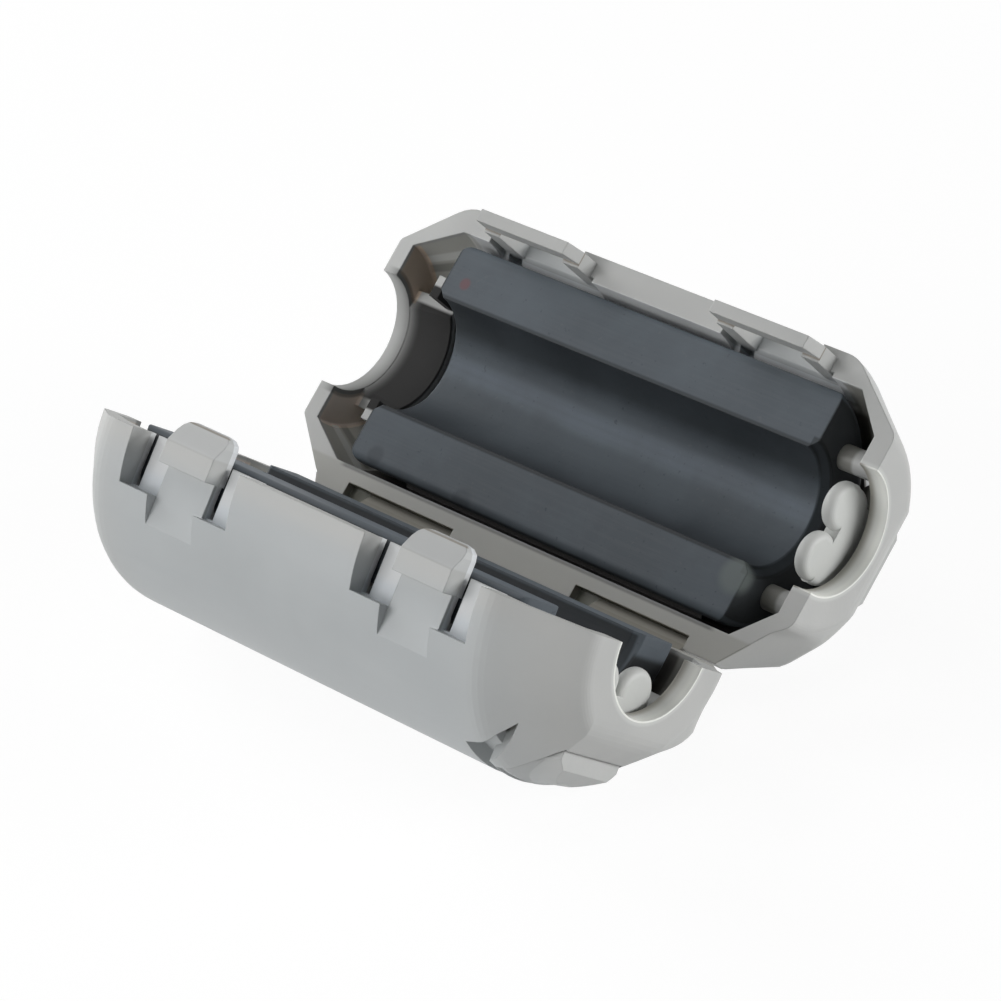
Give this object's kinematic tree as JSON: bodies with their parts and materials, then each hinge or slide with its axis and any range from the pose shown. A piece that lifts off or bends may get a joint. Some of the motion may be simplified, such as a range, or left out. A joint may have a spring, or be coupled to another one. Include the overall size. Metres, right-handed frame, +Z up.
{
  "type": "clip-on ferrite bead",
  "caption": "Small split ferrite sleeve in a hinged light grey plastic case, standing open, with two snap loops over hooks and notched cable-gripping fingers at one end.",
  "frame": {"origin": "middle of the base, on the surface the open clip stands on, below the hinge axis", "axes": "+X along the cable towards the end with the gripping fingers, +Y towards the half with the snap loops, +Z up"},
  "size_m": [0.025, 0.022, 0.0111],
  "materials": {
    "case": "light grey moulded nylon, faint satin",
    "core": "dark slate grey sintered ferrite, ground mating faces"
  },
  "bodies": {
    "loop_half": {"loop_half_case": "case", "loop_half_core": "core", "hinge_strap_left": "case", "hinge_strap_right": "case"},
    "hook_half": {"hook_half_case": "case", "hook_half_core": "core"}
  },
  "joints": [
    {"name": "case_hinge", "type": "hinge", "parent": "loop_half", "child": "hook_half", "pos_m": [0, 0, 0.00215], "axis": [-1, 0, 0], "range_deg": [-78.86, 101.14], "deforming": ["hinge_strap_left", "hinge_strap_right"]}
  ]
}
